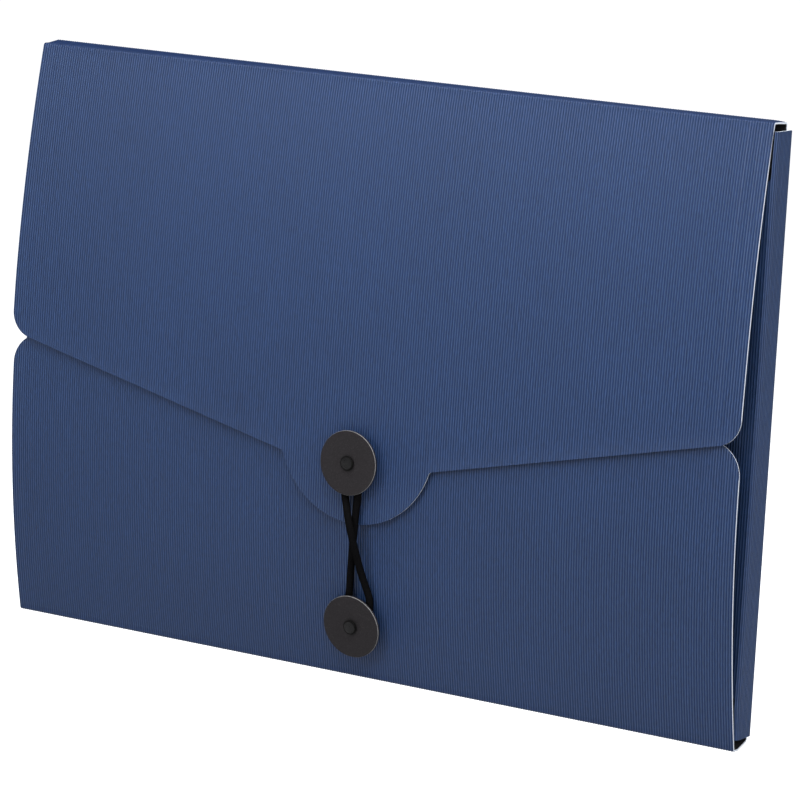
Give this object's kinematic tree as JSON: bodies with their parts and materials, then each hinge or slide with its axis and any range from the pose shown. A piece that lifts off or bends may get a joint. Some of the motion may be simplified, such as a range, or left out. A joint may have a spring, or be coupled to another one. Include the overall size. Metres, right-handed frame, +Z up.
{
  "type": "elastic closure folder",
  "caption": "Ribbed card document folder for A4 sheets with a bowed closing flap, hinged side walls and tuck flaps, and an elastic cord crossed between riveted round buttons.",
  "frame": {"origin": "middle of the bottom spine's underside, on which the folder stands", "axes": "+X along the width, to the right as seen from the front; the flap faces -Y; +Z up"},
  "size_m": [0.319, 0.0279, 0.223],
  "materials": {
    "ribbed_card": "matt blue card with fine upright ribs",
    "button_board": "matt charcoal pressed board",
    "rivet_metal": "glossy black",
    "elastic": "black braided cover on a rubber core"
  },
  "bodies": {
    "base": {"bottom_spine": "ribbed_card"},
    "back": {"back_panel": "ribbed_card"},
    "top": {"top_spine": "ribbed_card"},
    "flap": {"closing_flap": "ribbed_card", "upper_rivet": "rivet_metal", "upper_rivet_cap": "rivet_metal"},
    "front": {"front_panel": "ribbed_card", "lower_rivet": "rivet_metal", "lower_rivet_cap": "rivet_metal", "elastic_cord": "elastic"},
    "left_wall": {"left_side_wall": "ribbed_card"},
    "right_wall": {"right_side_wall": "ribbed_card"},
    "left_tuck": {"left_tuck_flap": "ribbed_card"},
    "right_tuck": {"right_tuck_flap": "ribbed_card"},
    "upper_button": {"upper_button": "button_board"},
    "lower_button": {"lower_button": "button_board"}
  },
  "joints": [
    {"name": "back_crease", "type": "hinge", "parent": "base", "child": "back", "pos_m": [0, 0.005, 0], "axis": [-1, 0, 0], "range_deg": [0, 80], "deforming": ["elastic_cord"]},
    {"name": "front_crease", "type": "hinge", "parent": "base", "child": "front", "pos_m": [0, -0.005, 0], "axis": [1, 0, 0], "range_deg": [0, 45]},
    {"name": "top_crease", "type": "hinge", "parent": "back", "child": "top", "pos_m": [0, 0.005, 0.223], "axis": [-1, 0, 0], "range_deg": [0, 90]},
    {"name": "flap_crease", "type": "hinge", "parent": "top", "child": "flap", "pos_m": [0, -0.005, 0.223], "axis": [-1, 0, 0], "range_deg": [0, 90]},
    {"name": "left_wall_crease", "type": "hinge", "parent": "back", "child": "left_wall", "pos_m": [-0.1595, 0.005, 0.1115], "axis": [0, 0, -1], "range_deg": [0, 60]},
    {"name": "right_wall_crease", "type": "hinge", "parent": "back", "child": "right_wall", "pos_m": [0.1595, 0.005, 0.1115], "axis": [0, 0, 1], "range_deg": [0, 60]},
    {"name": "left_tuck_crease", "type": "hinge", "parent": "left_wall", "child": "left_tuck", "pos_m": [-0.1595, -0.007, 0.1115], "axis": [0, 0, -1], "range_deg": [0, 60]},
    {"name": "right_tuck_crease", "type": "hinge", "parent": "right_wall", "child": "right_tuck", "pos_m": [0.1595, -0.007, 0.1115], "axis": [0, 0, 1], "range_deg": [0, 60]},
    {"name": "upper_button_spin", "type": "hinge", "parent": "flap", "child": "upper_button", "pos_m": [0.0014, -0.01712, 0.0835], "axis": [0, -1, 0], "continuous": true},
    {"name": "lower_button_spin", "type": "hinge", "parent": "front", "child": "lower_button", "pos_m": [0.0014, -0.00929, 0.0215], "axis": [0, -0.9854, -0.1702], "continuous": true}
  ],
  "couplings": [
    {"joint": "top_crease", "follows": "back_crease", "ratio": 1.125},
    {"joint": "flap_crease", "follows": "back_crease", "ratio": 1.125},
    {"joint": "front_crease", "follows": "back_crease", "ratio": 0.5625},
    {"joint": "left_wall_crease", "follows": "back_crease", "ratio": 0.75},
    {"joint": "right_wall_crease", "follows": "back_crease", "ratio": 0.75},
    {"joint": "left_tuck_crease", "follows": "back_crease", "ratio": 0.75},
    {"joint": "right_tuck_crease", "follows": "back_crease", "ratio": 0.75}
  ]
}
